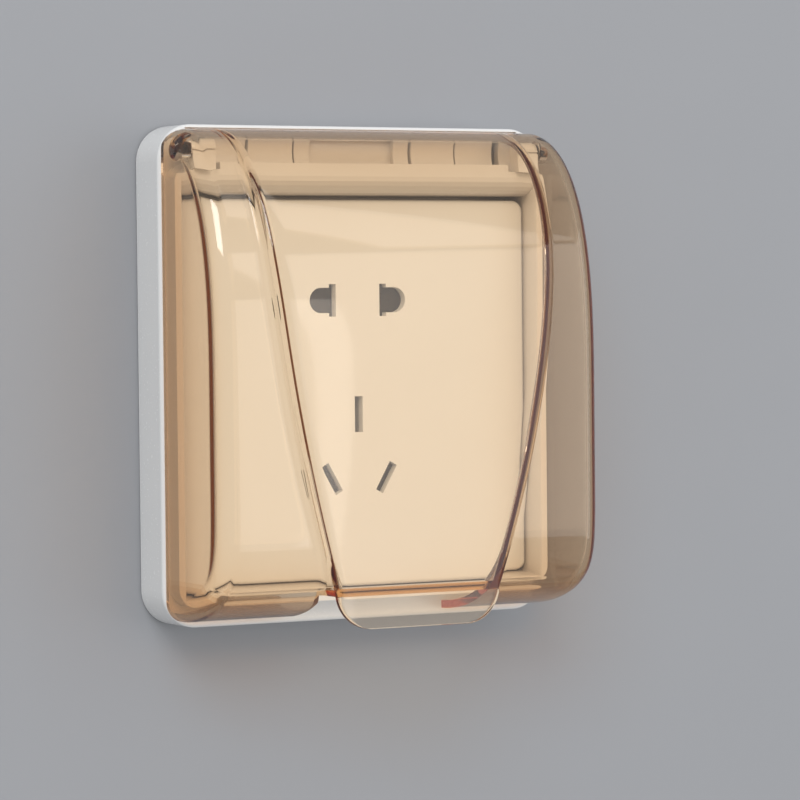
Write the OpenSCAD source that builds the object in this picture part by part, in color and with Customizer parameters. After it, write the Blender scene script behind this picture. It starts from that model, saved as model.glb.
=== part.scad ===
// Hinged waterproof cover for a flush wall socket, with the socket insert that it protects.
// X runs to the right, Y into the wall and Z up. The wall is the plane Y = 0, and the origin
// lies on it behind the middle of the socket plate. A depth is measured out from the wall.

/* [Base frame] */
// Width of the frame beside the socket plate
side_margin = 5.2; // [5:0.1:7]
// Height of the frame above the socket plate
top_margin = 16.4; // [16:0.1:20]
// Height of the frame below the socket plate
bottom_margin = 7.4; // [7:0.1:10]
// Radius of its outer corners
base_r = 8; // [6:0.5:10]
// Rounding of its front outer edge
base_edge_r = 1; // [0.4:0.1:1.6]
// Wall of the frame's moulding
base_wall = 1.8; // [1.4:0.1:2.2]
// Thickness of the floor that the insert is screwed to
floor_t = 2; // [1.6:0.1:2.4]
// How far the raised rim stands out from the frame's front face
rim_out = 5.1; // [4:0.1:5.4]
// Thickness of the raised rim at its front
rim_t = 1.5; // [1:0.1:2]
// Height of the rim's inner edge above the plate
rim_above = 4.9; // [3.5:0.1:5.1]
// Distance of the rim's inner edge below the plate
rim_below = 1; // [0.8:0.1:1.6]
// Height of the ledge between the rim and the hinge trough
ledge_h = 2.8; // [2.4:0.1:3]
// Gap between the top of the plate and the frame
plate_gap_top = 0.9; // [0.4:0.1:1.2]
// Gap between the other sides of the plate and the frame
plate_gap = 0.3; // [0.2:0.1:0.6]

/* [Lid] */
// How far each side of the lid lies inside the frame's side
lid_inset = 0.5; // [0.3:0.1:0.9]
// Wall of the lid
lid_t = 1.8; // [1.4:0.1:2]
// How far the lid's top lies below the frame's top edge
lid_drop = 1; // [0.8:0.1:1.4]
// How far the lid's bottom lies above the frame's bottom edge
lid_rise = 1.4; // [1.2:0.1:1.8]
// How far the crown of its side zones stands out from the wall
lid_depth = 37.2; // [34:0.2:42]
// Rounding that rolls along the lid's side edges
lid_edge_r = 6; // [4:0.5:7]
// Gap between the lid's rear edge and the frame
rest_gap = 0.3; // [0.2:0.05:0.5]
// Height of the step up to the raised middle panel
step_h = 4.2; // [2:0.2:6]
// Rounding of the raised panel's edge
step_r = 1.3; // [0.6:0.1:1.8]
// Distance of the raised panel's top corners from the lid's sides
panel_margin = 11.3; // [9.5:0.1:15]
// Width of the raised panel at its foot
panel_foot_w = 40.4; // [34:0.4:44]
// How far the raised panel leans back from its crown to its foot
panel_lean = 1.7; // [0.5:0.1:2.5]
// Height of the panel's foot above the lid's bottom
foot_rise = 6.2; // [5:0.1:8]
// Thickness of the shelf that closes the panel's foot
shelf_t = 1.6; // [1.2:0.1:2]
// Length of the finger lip below the panel's foot
lip_length = 7.3; // [5:0.1:9]
// Radius of the finger lip's lower corners
lip_r = 8.4; // [5:0.2:8.8]

/* [Hinge] */
// Distance of the hinge line below the lid's top
hinge_drop = 4.8; // [4.7:0.05:5]
// How far the hinge line stands out from the frame's front face
hinge_out = 4.9; // [4.8:0.05:5.1]
// Diameter of the lid's pivot studs
stud_d = 2.4; // [2:0.1:2.6]
// Length of each stud inside its bearing block
stud_l = 3.6; // [2.5:0.1:4]
// Diameter of the round top of each bearing block
block_d = 3.8; // [3.4:0.1:3.8]
// Width of each bearing block
block_w = 5; // [4.4:0.1:6]
// Diameter of the pivot boss inside each side of the lid
ear_d = 5.2; // [4:0.1:5.2]
// Width of each spring tongue in the hinge trough
tongue_w = 11.6; // [9:0.1:13]
// Distance of each tongue's middle from the centre
tongue_x = 20.5; // [19:0.1:22]
// Half width of the middle recess in the trough
recess_x = 10.6; // [8:0.1:12]

/* [Socket insert] */
// Side of the square socket plate
plate_w = 86; // [85:0.1:86.4]
// Thickness of the plate's front
plate_t = 2; // [1.6:0.1:2.4]
// How far the plate's face lies behind the frame's front face
plate_sink = 0.1; // [0.1:0.1:0.5]
// Thickness of the metal bracket
bracket_t = 1.8; // [1.2:0.1:2.4]
// Diameter of the shutter springs
spring_d = 2.4; // [2:0.1:3]
// Radius of the plate's corners
plate_r = 2.6; // [1.5:0.1:4]
// Rounding of the plate's front edge
plate_edge_r = 0.9; // [0.4:0.1:1.4]
// Distance of each fixing screw from the plate's side
screw_margin = 12.85; // [12:0.05:14]
// Distance of the two-pin outlet below the plate's top
two_pin_drop = 22.3; // [20:0.1:25]
// Height of the three-pin outlet's centre above the plate's bottom
three_pin_rise = 28; // [26:0.1:29]
// How far the rear housing's front flange stands out at its sides
flange_out = 1; // [0.8:0.1:2]
// Room in the rear housing above the two-pin outlet
outlet_room = 9.3; // [8:0.1:10]
// How deep the rear housing reaches into the wall
housing_reach = 20; // [18:0.5:24]
// Wall of the rear housing
housing_wall = 1.8; // [1.4:0.1:2.2]

/* [Hidden] */
$fn = 48;
eps = 0.01;
far = 200;

// Colours
frame_white = [0.93, 0.93, 0.92];
plate_white = [0.95, 0.94, 0.91];
lid_amber = [0.86, 0.62, 0.36, 0.5];
gasket_grey = [0.25, 0.25, 0.26];
housing_grey = [0.86, 0.86, 0.84];
shutter_grey = [0.36, 0.34, 0.32];
brass = [0.80, 0.62, 0.30];
steel = [0.72, 0.73, 0.75];

// Running gaps
run_gap = 0.3;
stud_gap = 0.06;
slide_gap = 0.2;

// Depths of the insert and the frame, out from the wall
gasket_t = 1;
floor_front = gasket_t + floor_t;
bracket_front = floor_front + bracket_t;
flange_t = 1.4;
carrier_back = bracket_front + flange_t;
carrier_front = carrier_back + spring_d + 0.7;
plate_depth = carrier_front + slide_gap + plate_t;
base_depth = plate_depth + plate_sink;

// Outlines of the frame, the lid and the insert
screw_pitch = plate_w - 2*screw_margin;
two_pin_z = plate_w/2 - two_pin_drop;
three_pin_z = three_pin_rise - plate_w/2;
base_w = plate_w + 2*side_margin;
base_top = plate_w/2 + top_margin;
base_bottom = plate_w/2 + bottom_margin;
rim_depth = base_depth + rim_out;
rim_top = plate_w/2 + rim_above;
rim_bottom = plate_w/2 + rim_below;
lid_w = base_w - 2*lid_inset;
lid_top = base_top - lid_drop;
lid_bottom = base_bottom - lid_rise;
panel_top_w = lid_w - 2*panel_margin;
panel_foot = lid_bottom - foot_rise;
lip_end = panel_foot + lip_length;
hinge_z = lid_top - hinge_drop;
hinge_depth = base_depth + hinge_out;

// Places shared by the frame and the lid
lid_rear = base_depth + rest_gap;
lid_half = lid_w/2;
rim_half = lid_half - lid_t - run_gap;
rim_r = lid_edge_r - lid_t;
ledge_top = rim_top + ledge_h;
cavity_half = plate_w/2 + plate_gap;
cavity_top = plate_w/2 + plate_gap_top;
cavity_bottom = plate_w/2 + plate_gap;
block_x = lid_half - 4.7;
block_end_r = block_d/2 - 0.3;
ear_x = block_x + run_gap;
ear_end = lid_half - 2.4;
ear_root = lid_half - lid_t/2 - 0.2;
corner_x = lid_half - lid_edge_r - 0.2;
rear_swing = norm([hinge_depth - lid_rear, lid_top - hinge_z]);
edge_swing = hinge_depth - base_depth - 0.15;
trough_r = rear_swing + 0.7;
tongue_r = rear_swing + 0.35;
trough_top = lid_top + run_gap;
notch_z = hinge_z - (hinge_depth - lid_rear) - 0.2;
notch_depth = hinge_depth - block_d/2;
pocket_depth = hinge_depth - trough_r - base_wall;
recess_depth = pocket_depth + base_wall - 1.2;
slit = 0.6;

// Socket insert
screw_head_d = 7.6;
bracket_half = plate_w/2 - plate_t - 0.3;
carrier_w = screw_pitch - screw_head_d - 0.7;
housing_w = carrier_w - 2*flange_out;
housing_h = 2*(two_pin_z + outlet_room);
carrier_h = housing_h + 7;
rib_t = 1.6;
fixing_r = 1.95;
fixing_reach = 18;
neck_r = 2.05;
neck_reach = 1;
fixing_hole_r = 2.25;
shutter_t = 1.3;
shutter_h = 10;
shutter_front = carrier_front - 0.1;
shutter_back = shutter_front - shutter_t;
two_pin_travel = 6.8;
three_pin_travel = 5.6;
pin_pitch = 12.7;
earth_rise = 10.3;
live_drop = 3.96;
earth_z = three_pin_z + earth_rise;
live_x = 6.86;
live_z = three_pin_z - live_drop;
live_angle = 30;
strip_t = 0.8;
strip_back = -8;
leaf_t = 0.6;
leaf_front = 3.6;
terminal_h = 8;
terminal_pitch = 11;
terminal_back = -housing_reach + housing_wall;
clamp_d = -terminal_back - 5;
clamp_r = 1.45;
clamp_head_r = 2.1;
wire_r = 1.6;
terminal_z0 = -housing_h/2 + housing_wall;
screw_head_t = 2.2;
small_screw_r = 0.85;
small_head_r = 1.5;
small_head_t = 0.8;
spring_wire = 0.4;
spring_room = 11;
spring_groove = carrier_front - spring_d - 0.3;
spring_depth = spring_groove + spring_d/2 + 0.05;
two_pin_start = -20.6;
two_pin_end = 13.5;
three_pin_start = -17;
three_pin_end = 11;
flat_leaf_w = 7;
slant_leaf_w = 6;
strip_half = 3;
strip_x = 6.8;
strip_past = 4;
earth_strip_half = 2.4;
terminal_half = 4;
earth_terminal_half = 3.2;

// A 2-D outline in X and Z carried outwards from depth d0 to depth d1
module outward(d0, d1) {
    rotate([90, 0, 0]) translate([0, 0, d0]) linear_extrude(d1 - d0) children();
}

// A 2-D outline in depth and Z carried along X from x0 to x1
module across(x0, x1) {
    translate([x1, 0, 0]) rotate([90, 0, -90]) linear_extrude(x1 - x0) children();
}

// A 2-D outline in X and depth carried up Z from z0 to z1
module upward(z0, z1) {
    mirror([0, 1, 0]) translate([0, 0, z0]) linear_extrude(z1 - z0) children();
}

// A box from its limits in X, depth and Z
module box(x0, x1, d0, d1, z0, z1) {
    translate([x0, -d1, z0]) cube([x1 - x0, d1 - d0, z1 - z0]);
}

// A round bar along X at a depth and a height
module bar_x(x0, x1, depth, z, r) {
    translate([x0, -depth, z]) rotate([0, 90, 0]) cylinder(r = r, h = x1 - x0);
}

// A taper on the hinge line, from x0 to x1 on one side, with its two radii
module taper_x(side, x0, x1, r0, r1) {
    translate([side*x0, -hinge_depth, hinge_z]) rotate([0, 90*side, 0])
        cylinder(r1 = r0, r2 = r1, h = x1 - x0);
}

// A round bar along the depth at a place in X and Z
module bar_d(x, z, d0, d1, r) {
    translate([x, -d0, z]) rotate([90, 0, 0]) cylinder(r = r, h = d1 - d0);
}

// A rectangle with four round corners
module round_rect(half_w, z0, z1, r) {
    translate([-half_w, z0 + r]) square([2*half_w, z1 - z0 - 2*r]);
    translate([-half_w + r, z0]) square([2*(half_w - r), z1 - z0]);
    for (x = [-half_w + r, half_w - r], z = [z0 + r, z1 - r])
        translate([x, z]) circle(r = r);
}

// Section of a slab: square at the back and rounded by e at both front corners
module slab_section(u0, u1, d0, d1, e) {
    translate([d0, u0]) square([d1 - d0 - e, u1 - u0]);
    translate([d0, u0 + e]) square([d1 - d0, u1 - u0 - 2*e]);
    for (u = [u0 + e, u1 - e])
        translate([d1 - e, u]) circle(r = e, $fn = 32);
}

// A slab with round corners and a rounded front edge, as discs and bars of one section
module soft_slab(half_w, z0, z1, r, d0, d1, e) {
    across(-half_w + r, half_w - r) slab_section(z0, z1, d0, d1, e);
    upward(z0 + r, z1 - r) mirror([1, -1]) slab_section(-half_w, half_w, d0, d1, e);
    for (x = [-half_w + r, half_w - r], z = [z0 + r, z1 - r])
        translate([x, 0, z]) rotate([90, 0, 0]) rotate_extrude() {
            translate([0, d0]) square([r, d1 - d0 - e]);
            translate([0, d0]) square([r - e, d1 - d0]);
            translate([r - e, d1 - e]) intersection() {
                circle(r = e, $fn = 32);
                square(e);
            }
        }
}

// Base frame

// Sloping mouth of the frame: a wall that curves out from the plate to the rim
function mouth_wall(inner, outer) = [for (i = [0:6]) let (a = 90*i/6)
    [plate_depth - 1 + (rim_depth - plate_depth + 1)*sin(a), inner + (outer - inner)*(1 - cos(a))]];

module mouth_section(lo_in, lo_out, hi_in, hi_out) {
    hi = mouth_wall(hi_in, hi_out);
    lo = mouth_wall(lo_in, lo_out);
    polygon(concat([[floor_front, lo_in]], lo, [[rim_depth + 1, lo_out], [rim_depth + 1, hi_out]],
        [for (i = [6:-1:0]) hi[i]], [[floor_front, hi_in]]));
}

module frame_mouth() {
    side_out = rim_half - rim_t;
    intersection() {
        across(-far/2, far/2) mouth_section(-cavity_bottom, -rim_bottom, cavity_top, rim_top);
        upward(-far/2, far/2) mirror([1, -1])
            mouth_section(-cavity_half, -side_out, cavity_half, side_out);
    }
}

module hinge_trough() {
    module swing(x0, x1, r) {
        intersection() {
            bar_x(x0, x1, hinge_depth, hinge_z, r);
            box(x0, x1, 0, notch_depth, notch_z, trough_top);
        }
    }
    swing(-corner_x - run_gap, -tongue_x - tongue_w/2, trough_r);
    swing(-tongue_x + tongue_w/2, tongue_x - tongue_w/2, trough_r);
    swing(tongue_x + tongue_w/2, corner_x + run_gap, trough_r);
    for (x = [-tongue_x, tongue_x])
        swing(x - tongue_w/2 - eps, x + tongue_w/2 + eps, tongue_r);
    box(-corner_x - run_gap, corner_x + run_gap, base_depth - 1, notch_depth, notch_z, trough_top);
    box(-recess_x, recess_x, recess_depth, base_depth, notch_z + 1, trough_top - 0.8);
    // Relief in the ledge's two ends for the corners of the open lid
    for (s = [-1, 1])
        intersection() {
            bar_x(-far/2, far/2, hinge_depth, hinge_z, edge_swing + run_gap);
            union() {
                box(s > 0 ? corner_x : -far/2, s > 0 ? far/2 : -corner_x, base_depth, notch_depth,
                    rim_top - 1, hinge_z);
                box(s > 0 ? block_x : -far/2, s > 0 ? far/2 : -block_x, base_depth, rim_depth + 1,
                    rim_top - 1, hinge_z);
            }
        }
}

// Thin cuts round three sides of a spring tongue
module tongue_cuts() {
    z0 = notch_z + 0.4;
    z1 = trough_top - 2;
    for (s = [-1, 1])
        box(s*tongue_w/2 - slit/2, s*tongue_w/2 + slit/2, pocket_depth - 1, base_depth, z0, z1);
    box(-tongue_w/2 - slit/2, tongue_w/2 + slit/2, pocket_depth - 1, base_depth, z0, z0 + slit);
}

module bearing_blocks() {
    for (s = [-1, 1]) {
        x0 = s > 0 ? block_x - block_w : -block_x;
        bar_x(s > 0 ? x0 : x0 + 1, s > 0 ? x0 + block_w - 1 : x0 + block_w,
            hinge_depth, hinge_z, block_d/2);
        // Its outer end narrows, clear of the lid's round corner
        taper_x(s, block_x - 1, block_x, block_d/2, block_end_r);
        box(x0, x0 + block_w, notch_depth, hinge_depth + block_d/2, rim_top + 1.2, hinge_z);
    }
}

module base_frame() {
    back_w = base_w/2 - base_wall;
    channel_in = cavity_half + base_wall;
    color(frame_white) difference() {
        union() {
            soft_slab(base_w/2, -base_bottom, base_top, base_r, 0, base_depth, base_edge_r);
            outward(base_depth - 1, rim_depth)
                round_rect(rim_half, -rim_bottom - rim_t, ledge_top, rim_r);
        }
        frame_mouth();
        hinge_trough();
        for (x = [-tongue_x, tongue_x])
            translate([x, 0, 0]) tongue_cuts();
        // Slots that part the bearing blocks from the trough
        for (x = [block_x - block_w - 1.8, -block_x + block_w])
            box(x, x + 1.8, pocket_depth - 1, rim_depth + 1, notch_z + 0.4, trough_top - 1);
        // Hollow back: a channel inside the skirt and a pocket behind the hinge trough
        for (s = [-1, 1])
            box(s > 0 ? channel_in : -back_w, s > 0 ? back_w : -channel_in, -1,
                base_depth - base_wall, -base_bottom + base_r, base_top - base_r - 2);
        box(-back_w + base_r, back_w - base_r, -1, pocket_depth, cavity_top + 1.8, base_top - base_wall);
        box(-back_w + base_r, back_w - base_r, -1, base_depth - base_wall,
            -base_bottom + base_wall, -cavity_bottom - base_wall);
        // Gasket groove and the window for the insert's body
        outward(-1, gasket_t) round_rect(cavity_half - 0.5, -cavity_bottom + 0.5, cavity_top - 0.5, 3);
        outward(0, floor_front + 1) round_rect(housing_w/2 + 1, -housing_h/2 - 1, housing_h/2 + 1, 3);
        for (x = [-screw_pitch/2, screw_pitch/2])
            bar_d(x, 0, 0, floor_front + 1, fixing_hole_r);
    }
    color(frame_white) difference() {
        bearing_blocks();
        bar_x(-block_x - 1, -block_x + stud_l + 0.3, hinge_depth, hinge_z, stud_d/2 + stud_gap);
        bar_x(block_x - stud_l - 0.3, block_x + 1, hinge_depth, hinge_z, stud_d/2 + stud_gap);
        // Score line across the front of each block
        box(-far/2, far/2, hinge_depth + block_d/2 - 0.4, rim_depth + 4, hinge_z - 0.6, hinge_z - 0.3);
    }
}

module wall_gasket() {
    color(gasket_grey) difference() {
        outward(0, gasket_t) round_rect(cavity_half - 0.7, -cavity_bottom + 0.7, cavity_top - 0.7, 3);
        outward(-1, gasket_t + 1) round_rect(housing_w/2 + 1, -housing_h/2 - 1, housing_h/2 + 1, 3);
        for (x = [-screw_pitch/2, screw_pitch/2])
            bar_d(x, 0, -1, gasket_t + 1, fixing_hole_r + 0.15);
    }
}

// Lid

// The side profile is two quarter superellipses that meet at the crown. Above it the height
// follows the power upper_n and the depth upper_m, and below it lower_n and lower_m.
upper_n = 2.7;
upper_m = 2.1;
lower_n = 9;
lower_m = 1.4;
upper_rows = 14;
middle_rows = 6;
lower_rows = 6;
roll_steps = 6;
panel_steps = 3;
panel_end = panel_foot + 0.2;
last_row = upper_rows + middle_rows + lower_rows;

// Angle of a row: 90 at the top, 0 at the crown and -90 at the bottom. The middle rows are
// spaced by height, so that one of them lies just past the panel's foot.
function foot_angle(inset) = asin(pow(panel_end/(lid_bottom - inset), lower_n/2));
function row_angle(i, inset) = i <= upper_rows ? 90*(1 - i/upper_rows)
    : i <= upper_rows + middle_rows
    ? -asin(pow(panel_end*pow((i - upper_rows)/middle_rows, 0.8)/(lid_bottom - inset), lower_n/2))
    : let (t = (i - upper_rows - middle_rows)/lower_rows, f = foot_angle(inset)) -f - (90 - f)*t;

// Point of the profile, as depth and height
function profile_at(a, inset) = let (
        up = a >= 0,
        h = (up ? lid_top : lid_bottom) - inset,
        b = lid_depth - inset - lid_rear,
        n = up ? upper_n : lower_n,
        m = up ? upper_m : lower_m)
    [lid_rear + b*pow(max(cos(a), 0), 2/m), sign(a)*h*pow(abs(sin(a)), 2/n)];

// Outward direction of the profile there
function profile_normal(a, inset) = let (
        p = profile_at(a, inset),
        up = a >= 0,
        h = (up ? lid_top : lid_bottom) - inset,
        b = lid_depth - inset - lid_rear,
        n = up ? upper_n : lower_n,
        m = up ? upper_m : lower_m,
        v = [m/b*pow(max(p[0] - lid_rear, 0)/b, m - 1), sign(a)*n/h*pow(abs(p[1])/h, n - 1)])
    v/norm(v);

// Half width of the raised panel at a height: it narrows with the square of the drop
function panel_half(z) = let (u = (lid_top - z)/(lid_top + panel_foot))
    (panel_top_w - (panel_top_w - panel_foot_w)*u*u)/2;

// How far the panel stands off the profile in a row, as depth and height
function panel_lift(i, a, inset) = i > upper_rows + middle_rows ? [0, 0]
    : a >= 0 ? profile_normal(a, inset)*step_h*(1 - pow(sin(a), 3.5))
    : let (p = profile_at(a, inset), u = p[1]/panel_foot)
        [lid_depth - inset + step_h - panel_lean*u*u - p[0], 0];

// Right half of a cross section, as points in X, depth and height: the panel with its rounded
// edge, the foot of its step, and the rounding that rolls over to the side wall
function half_section(p, n, lift, half, r, w) = let (
        size = norm(lift),
        e = min(step_r, size),
        drop = size > 0 ? lift/size*e : [0, 0])
    concat(
        [for (i = [0:panel_steps]) let (g = 90*i/panel_steps)
            [w - step_r + step_r*sin(g), each p + lift - drop*(1 - cos(g))]],
        [[w + 0.3, each p]],
        [for (i = [0:roll_steps]) let (g = 90*i/roll_steps)
            [half - r + r*sin(g), each p - n*r*(1 - cos(g))]]);

function mirrored(s) = concat([for (i = [len(s) - 1:-1:0]) [-s[i][0], s[i][1], s[i][2]]], s);

function lid_rows(inset) = [for (i = [0:last_row]) let (
        a = row_angle(i, inset),
        p = profile_at(a, inset),
        n = i == 0 ? [0, 1] : i == last_row ? [0, -1] : profile_normal(a, inset))
    mirrored(half_section(p, n, panel_lift(i, a, inset), lid_half - inset, lid_edge_r - inset,
        panel_half(p[1]) - inset))];

// Faces of one grid of m rows and n columns from point number k, turned inward if flip is set.
// The stretches that are flat across X are left whole, and so are the two side walls.
function grid_faces(m, n, k, flip) = let (
        flat = [roll_steps, n/2 - 1, n - 2 - roll_steps],
        cell = [for (i = [0:m - 2], j = [0:n - 2]) let (
                a = k + i*n + j, b = a + 1, c = b + n, d = a + n)
            each len(search(j, flat)) > 0 ? [[a, b, c, d]] : [[a, b, c], [a, c, d]]],
        sides = [[for (i = [0:m - 1]) k + i*n], [for (i = [m - 1:-1:0]) k + i*n + n - 1]])
    [for (f = concat(cell, sides)) flip ? [for (q = [len(f) - 1:-1:0]) f[q]] : f];

// The whole wall as one closed shell: the outer form, the inner form and the rim that joins them
module lid_shell() {
    outer = lid_rows(0);
    inner = lid_rows(lid_t);
    m = len(outer);
    n = len(outer[0]);
    k = m*n;
    z = (m - 1)*n;
    polyhedron(
        points = [for (g = [outer, inner], s = g, q = s) [q[0], -q[1], q[2]]],
        faces = concat(
            grid_faces(m, n, 0, false),
            grid_faces(m, n, k, true),
            [for (j = [0:n - 2]) [j + 1, j, k + j, k + j + 1]],
            [for (j = [0:n - 2]) [z + j, z + j + 1, k + z + j + 1, k + z + j]],
            [[0, z, k + z, k]],
            [[z + n - 1, n - 1, k + n - 1, k + z + n - 1]]),
        convexity = 6);
}

module finger_lip() {
    half = panel_foot_w/2;
    front = lid_depth + step_h - panel_lean;
    outward(front - lid_t, front) {
        translate([-half, -lip_end + lip_r]) square([2*half, lip_end - lip_r - panel_foot + shelf_t]);
        translate([-half + lip_r, -lip_end]) square([2*(half - lip_r), lip_r + 1]);
        for (x = [-half + lip_r, half - lip_r])
            translate([x, -lip_end + lip_r]) circle(r = lip_r);
    }
    box(-half + 0.5, half - 0.5, front - 6, front, -panel_foot, -panel_foot + shelf_t);
}

module pivot_ears() {
    for (s = [-1, 1]) {
        bar_x(s > 0 ? ear_x : -ear_end, s > 0 ? ear_end : -ear_x, hinge_depth, hinge_z, ear_d/2);
        taper_x(s, ear_end, ear_root, ear_d/2, ear_d/4);
        bar_x(s > 0 ? block_x - stud_l : -ear_x - eps, s > 0 ? ear_x + eps : -block_x + stud_l,
            hinge_depth, hinge_z, stud_d/2);
    }
}

// Relief at the ends of the lid's rear top edge, so that its corners swing clear of the frame
module corner_relief() {
    for (s = [-1, 1])
        difference() {
            box(s > 0 ? corner_x : -far/2, s > 0 ? far/2 : -corner_x, lid_rear - 1, hinge_depth,
                hinge_z, lid_top + 1);
            bar_x(-far/2 - 1, far/2 + 1, hinge_depth, hinge_z, edge_swing);
        }
}

module lid() {
    color(lid_amber) difference() {
        union() {
            difference() {
                lid_shell();
                // Outlet for the cord behind the finger lip
                box(-panel_foot_w/2, panel_foot_w/2, 0, far, -far, -panel_foot);
            }
            finger_lip();
            pivot_ears();
        }
        corner_relief();
    }
}

// Openings of the outlets, as outlines in X and Z
module two_pin_holes() {
    for (s = [-1, 1])
        translate([s*pin_pitch/2, two_pin_z]) {
            square([1.7, 7.2], center = true);
            translate([s > 0 ? 0 : -2.9, -2.8]) square([2.9, 5.6]);
            translate([s*2.9, 0]) circle(r = 2.8);
        }
}

module three_pin_holes(grow) {
    translate([0, earth_z]) square([2 + grow, 8 + grow], center = true);
    for (s = [-1, 1])
        translate([s*live_x, live_z]) rotate(-s*live_angle)
            square([2 + grow, 7.2 + grow], center = true);
}

module face_plate() {
    half = plate_w/2;
    inside = half - plate_t;
    color(plate_white) difference() {
        soft_slab(half, -half, half, plate_r, floor_front, plate_depth, plate_edge_r);
        outward(floor_front - 1, plate_depth - plate_t) round_rect(inside, -inside, inside, 1.2);
        outward(0, plate_depth + 1) two_pin_holes();
        outward(0, plate_depth + 1) three_pin_holes(0);
    }
    // Ribs inside the rim that stand on the bracket
    color(plate_white) for (x = [-inside - 0.2, inside - rib_t], z = [-28, 20])
        box(x, x + rib_t + 0.2, bracket_front, plate_depth - plate_t + 0.2, z, z + 8);
}

module socket_bracket() {
    color(steel) difference() {
        outward(floor_front, bracket_front)
            round_rect(bracket_half, -bracket_half, bracket_half, 2);
        outward(0, far) round_rect(housing_w/2 + 0.2, -housing_h/2 - 0.2, housing_h/2 + 0.2, 1.2);
        for (x = [-screw_pitch/2, screw_pitch/2])
            bar_d(x, 0, 0, far, fixing_hole_r);
    }
}

module rear_housing() {
    half = housing_w/2;
    high = housing_h/2;
    color(housing_grey) difference() {
        union() {
            outward(-housing_reach, bracket_front + eps) round_rect(half, -high, high, 1);
            outward(bracket_front, carrier_back)
                round_rect(carrier_w/2, -carrier_h/2, carrier_h/2, 1.5);
        }
        outward(-housing_reach + housing_wall, far)
            round_rect(half - housing_wall, -high + housing_wall, high - housing_wall, 0.8);
        // Wire entries at the back and screw openings below
        for (x = terminal_places()) {
            bar_d(x, terminal_z0 + terminal_h/2, -housing_reach - 1, terminal_back + 1, wire_r + 0.4);
            translate([x, clamp_d, -high - 1]) cylinder(r = clamp_head_r + 0.3, h = housing_wall + 2);
        }
        for (p = housing_screw_places())
            bar_d(p[0], p[1], bracket_front - 1, far, small_screw_r + 0.05);
    }
    // Ribs that carry the contact strips
    color(housing_grey) for (z = [two_pin_z + 2, earth_z + 2])
        box(-half + housing_wall - 0.2, half - housing_wall + 0.2, terminal_back - 0.2,
            strip_back, z, z + rib_t);
}

function terminal_places() = [-terminal_pitch, 0, terminal_pitch];
function housing_screw_places() = [for (x = [-1, 1], z = [-1, 1])
    [x*(carrier_w/2 - 2.2), z*(carrier_h/2 - 2.2)]];

// Pocket for one shutter and, past its end, a deeper groove for its spring
module slide_pocket(x0, x1, z) {
    end = x1 + 0.1 + spring_room + 0.2;
    high = shutter_h/2 + slide_gap;
    box(x0 - slide_gap, end, shutter_back - 0.1, far, z - high, z + high);
    box(x1 + 0.1, end, spring_groove, far, z - spring_d/2 - 0.4, z + spring_d/2 + 0.4);
}

module shutter_carrier() {
    color(housing_grey) difference() {
        outward(carrier_back, carrier_front) round_rect(carrier_w/2, -carrier_h/2, carrier_h/2, 1.5);
        outward(0, far) two_pin_holes();
        outward(0, far) three_pin_holes(0.6);
        // Slides of the two shutters, with room for their springs
        slide_pocket(two_pin_start, two_pin_end, two_pin_z);
        slide_pocket(three_pin_start, three_pin_end, live_z);
        for (p = housing_screw_places()) {
            bar_d(p[0], p[1], 0, far, small_screw_r + 0.1);
            bar_d(p[0], p[1], carrier_front - 1, far, small_head_r + 0.2);
        }
    }
}

module two_pin_shutter() {
    color(shutter_grey) difference() {
        box(two_pin_start, two_pin_end, shutter_back, shutter_front,
            two_pin_z - shutter_h/2, two_pin_z + shutter_h/2);
        translate([-two_pin_travel, 0, 0]) outward(0, far) two_pin_holes();
    }
}

module three_pin_shutter() {
    color(shutter_grey) difference() {
        box(three_pin_start, three_pin_end, shutter_back, shutter_front,
            live_z - shutter_h/2, live_z + shutter_h/2);
        translate([-three_pin_travel, 0, 0]) outward(0, far) three_pin_holes(0.6);
    }
}

// A coil spring along X: a round wire swept along a helix
module coil(x0, length, depth, z, turns) {
    sides = 6;
    per_turn = 10;
    rings = turns*per_turn;
    r = (spring_d - spring_wire)/2;
    color(steel) polyhedron(
        points = [for (i = [0:rings], j = [0:sides - 1]) let (
                a = 360*i/per_turn, b = 360*j/sides, q = r + spring_wire/2*cos(b))
            [x0 + spring_wire/2 + (length - spring_wire)*i/rings + spring_wire/2*sin(b),
                -depth + q*cos(a), z + q*sin(a)]],
        faces = concat(
            [for (i = [0:rings - 1], j = [0:sides - 1]) let (k = (j + 1)%sides)
                [i*sides + j, i*sides + k, (i + 1)*sides + k]],
            [for (i = [0:rings - 1], j = [0:sides - 1]) let (k = (j + 1)%sides)
                [i*sides + j, (i + 1)*sides + k, (i + 1)*sides + j]],
            [[for (j = [sides - 1:-1:0]) j], [for (j = [0:sides - 1]) rings*sides + j]]),
        convexity = 8);
}

module two_pin_spring() {
    coil(two_pin_end + 0.1, spring_room, spring_depth, two_pin_z, 7);
}

module three_pin_spring() {
    coil(three_pin_end + 0.1, spring_room, spring_depth, live_z, 7);
}

// A pair of leaves that grip one flat pin
module leaves(x, z, angle, width) {
    translate([x, 0, z]) rotate([0, -angle, 0])
        for (s = [-1, 1])
            box(s*1.1 - leaf_t/2, s*1.1 + leaf_t/2, strip_back, leaf_front, -width/2, width/2);
}

module side_contact(s) {
    color(brass) {
        box(s*strip_x - strip_half, s*strip_x + strip_half, strip_back, strip_back + strip_t,
            terminal_z0 + 0.3, two_pin_z + flat_leaf_w/2 + 1);
        leaves(s*pin_pitch/2, two_pin_z, 0, flat_leaf_w);
        leaves(s*live_x, live_z, -s*live_angle, slant_leaf_w);
    }
}

module line_contact() {
    side_contact(1);
}

module neutral_contact() {
    side_contact(-1);
}

module earth_contact() {
    color(brass) {
        box(-earth_strip_half, earth_strip_half, strip_back, strip_back + strip_t,
            terminal_z0 + 0.3, earth_z + strip_past);
        leaves(0, earth_z, 0, flat_leaf_w);
    }
}

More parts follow.
